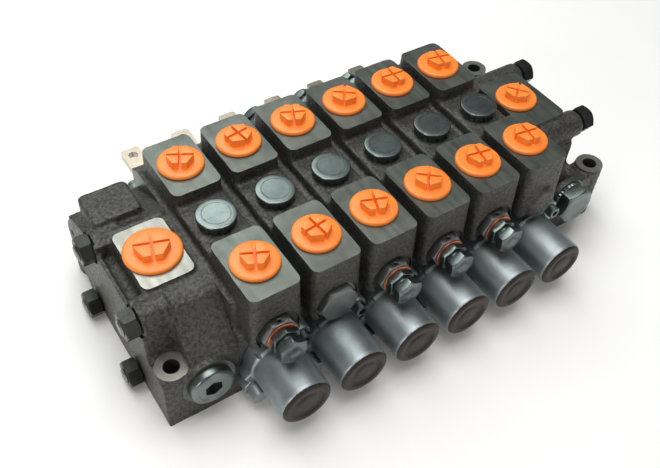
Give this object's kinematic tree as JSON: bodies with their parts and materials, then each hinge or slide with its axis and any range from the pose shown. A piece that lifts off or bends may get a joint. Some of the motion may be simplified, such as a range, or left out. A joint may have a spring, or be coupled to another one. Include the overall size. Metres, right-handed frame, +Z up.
{
  "type": "hydraulic sectional directional control valve",
  "caption": "Stack of spool valve sections between an inlet and an outlet section on tie rods, ports on top, closed spring caps in front and spool tongues behind.",
  "frame": {"origin": "on the mounting face, on the centre line between the two rows of work ports, midway between the left and right mounting holes", "axes": "+X along the stack from inlet to outlet, +Y towards the spool tongues, +Z up out of the ports"},
  "size_m": [0.4175, 0.285, 0.1189],
  "materials": {
    "casting": "rough phosphated casting with milled port faces",
    "cap_aluminium": "satin die casting",
    "zinc_steel": "zinc plated",
    "dark_steel": "dark plated",
    "black_steel": "black oxide",
    "spool_steel": "ground and hardened",
    "spring_steel": "bright wire",
    "copper": "soft copper",
    "seal_rubber": "nitrile",
    "plug_plastic": "soft moulded plastic"
  },
  "bodies": {
    "valve": {"cap_screws": "zinc_steel", "centering_springs": "spring_steel", "check_plugs": "zinc_steel", "check_springs": "spring_steel", "inlet_section": "casting", "main_relief_cartridge": "zinc_steel", "outlet_plug": "zinc_steel", "outlet_plug_washer": "zinc_steel", "outlet_section": "casting", "plate_screws": "zinc_steel", "relief_blank_plugs": "dark_steel", "relief_caps": "zinc_steel", "relief_valve_bodies": "dark_steel", "relief_washers": "copper", "seal_plates": "cap_aluminium", "section_seals": "seal_rubber", "spool_caps": "cap_aluminium", "spool_seals": "seal_rubber", "spool_wipers": "seal_rubber", "spring_cups": "spring_steel", "tie_rod_nuts": "black_steel", "tie_rod_washers": "black_steel", "tie_rods": "black_steel", "work_section_1": "casting", "work_section_2": "casting", "work_section_3": "casting", "work_section_4": "casting", "work_section_5": "casting", "work_section_6": "casting"},
    "spool_1": {"spool_1": "spool_steel"},
    "spool_2": {"spool_2": "spool_steel"},
    "spool_3": {"spool_3": "spool_steel"},
    "spool_4": {"spool_4": "spool_steel"},
    "spool_5": {"spool_5": "spool_steel"},
    "spool_6": {"spool_6": "spool_steel"},
    "check_poppet_1": {"check_poppet_1": "spool_steel"},
    "check_poppet_2": {"check_poppet_2": "spool_steel"},
    "check_poppet_3": {"check_poppet_3": "spool_steel"},
    "check_poppet_4": {"check_poppet_4": "spool_steel"},
    "check_poppet_5": {"check_poppet_5": "spool_steel"},
    "check_poppet_6": {"check_poppet_6": "spool_steel"},
    "p_port_plug": {"p_port_plug": "plug_plastic"},
    "t_port_plug": {"t_port_plug": "plug_plastic"},
    "a_port_plug_1": {"a_port_plug_1": "plug_plastic"},
    "a_port_plug_2": {"a_port_plug_2": "plug_plastic"},
    "a_port_plug_3": {"a_port_plug_3": "plug_plastic"},
    "a_port_plug_4": {"a_port_plug_4": "plug_plastic"},
    "a_port_plug_5": {"a_port_plug_5": "plug_plastic"},
    "a_port_plug_6": {"a_port_plug_6": "plug_plastic"},
    "b_port_plug_1": {"b_port_plug_1": "plug_plastic"},
    "b_port_plug_2": {"b_port_plug_2": "plug_plastic"},
    "b_port_plug_3": {"b_port_plug_3": "plug_plastic"},
    "b_port_plug_4": {"b_port_plug_4": "plug_plastic"},
    "b_port_plug_5": {"b_port_plug_5": "plug_plastic"},
    "b_port_plug_6": {"b_port_plug_6": "plug_plastic"}
  },
  "joints": [
    {"name": "spool_slide_1", "type": "slide", "parent": "valve", "child": "spool_1", "axis": [0, 1, 0], "range_m": [-0.007, 0.007], "stiffness_N_per_m": 10000},
    {"name": "spool_slide_2", "type": "slide", "parent": "valve", "child": "spool_2", "axis": [0, 1, 0], "range_m": [-0.007, 0.007], "stiffness_N_per_m": 10000},
    {"name": "spool_slide_3", "type": "slide", "parent": "valve", "child": "spool_3", "axis": [0, 1, 0], "range_m": [-0.007, 0.007], "stiffness_N_per_m": 10000},
    {"name": "spool_slide_4", "type": "slide", "parent": "valve", "child": "spool_4", "axis": [0, 1, 0], "range_m": [-0.007, 0.007], "stiffness_N_per_m": 10000},
    {"name": "spool_slide_5", "type": "slide", "parent": "valve", "child": "spool_5", "axis": [0, 1, 0], "range_m": [-0.007, 0.007], "stiffness_N_per_m": 10000},
    {"name": "spool_slide_6", "type": "slide", "parent": "valve", "child": "spool_6", "axis": [0, 1, 0], "range_m": [-0.007, 0.007], "stiffness_N_per_m": 10000},
    {"name": "check_lift_1", "type": "slide", "parent": "valve", "child": "check_poppet_1", "axis": [0, 0, 1], "range_m": [0, 0.004], "stiffness_N_per_m": 500, "springref_m": -0.004, "deforming": ["check_springs"]},
    {"name": "check_lift_2", "type": "slide", "parent": "valve", "child": "check_poppet_2", "axis": [0, 0, 1], "range_m": [0, 0.004], "stiffness_N_per_m": 500, "springref_m": -0.004, "deforming": ["check_springs"]},
    {"name": "check_lift_3", "type": "slide", "parent": "valve", "child": "check_poppet_3", "axis": [0, 0, 1], "range_m": [0, 0.004], "stiffness_N_per_m": 500, "springref_m": -0.004, "deforming": ["check_springs"]},
    {"name": "check_lift_4", "type": "slide", "parent": "valve", "child": "check_poppet_4", "axis": [0, 0, 1], "range_m": [0, 0.004], "stiffness_N_per_m": 500, "springref_m": -0.004, "deforming": ["check_springs"]},
    {"name": "check_lift_5", "type": "slide", "parent": "valve", "child": "check_poppet_5", "axis": [0, 0, 1], "range_m": [0, 0.004], "stiffness_N_per_m": 500, "springref_m": -0.004, "deforming": ["check_springs"]},
    {"name": "check_lift_6", "type": "slide", "parent": "valve", "child": "check_poppet_6", "axis": [0, 0, 1], "range_m": [0, 0.004], "stiffness_N_per_m": 500, "springref_m": -0.004, "deforming": ["check_springs"]},
    {"name": "p_plug_lift", "type": "slide", "parent": "valve", "child": "p_port_plug", "axis": [0, 0, 1], "range_m": [0, 0.06]},
    {"name": "t_plug_lift", "type": "slide", "parent": "valve", "child": "t_port_plug", "axis": [0, 0, 1], "range_m": [0, 0.06]},
    {"name": "a_plug_lift_1", "type": "slide", "parent": "valve", "child": "a_port_plug_1", "axis": [0, 0, 1], "range_m": [0, 0.06]},
    {"name": "a_plug_lift_2", "type": "slide", "parent": "valve", "child": "a_port_plug_2", "axis": [0, 0, 1], "range_m": [0, 0.06]},
    {"name": "a_plug_lift_3", "type": "slide", "parent": "valve", "child": "a_port_plug_3", "axis": [0, 0, 1], "range_m": [0, 0.06]},
    {"name": "a_plug_lift_4", "type": "slide", "parent": "valve", "child": "a_port_plug_4", "axis": [0, 0, 1], "range_m": [0, 0.06]},
    {"name": "a_plug_lift_5", "type": "slide", "parent": "valve", "child": "a_port_plug_5", "axis": [0, 0, 1], "range_m": [0, 0.06]},
    {"name": "a_plug_lift_6", "type": "slide", "parent": "valve", "child": "a_port_plug_6", "axis": [0, 0, 1], "range_m": [0, 0.06]},
    {"name": "b_plug_lift_1", "type": "slide", "parent": "valve", "child": "b_port_plug_1", "axis": [0, 0, 1], "range_m": [0, 0.06]},
    {"name": "b_plug_lift_2", "type": "slide", "parent": "valve", "child": "b_port_plug_2", "axis": [0, 0, 1], "range_m": [0, 0.06]},
    {"name": "b_plug_lift_3", "type": "slide", "parent": "valve", "child": "b_port_plug_3", "axis": [0, 0, 1], "range_m": [0, 0.06]},
    {"name": "b_plug_lift_4", "type": "slide", "parent": "valve", "child": "b_port_plug_4", "axis": [0, 0, 1], "range_m": [0, 0.06]},
    {"name": "b_plug_lift_5", "type": "slide", "parent": "valve", "child": "b_port_plug_5", "axis": [0, 0, 1], "range_m": [0, 0.06]},
    {"name": "b_plug_lift_6", "type": "slide", "parent": "valve", "child": "b_port_plug_6", "axis": [0, 0, 1], "range_m": [0, 0.06]}
  ]
}
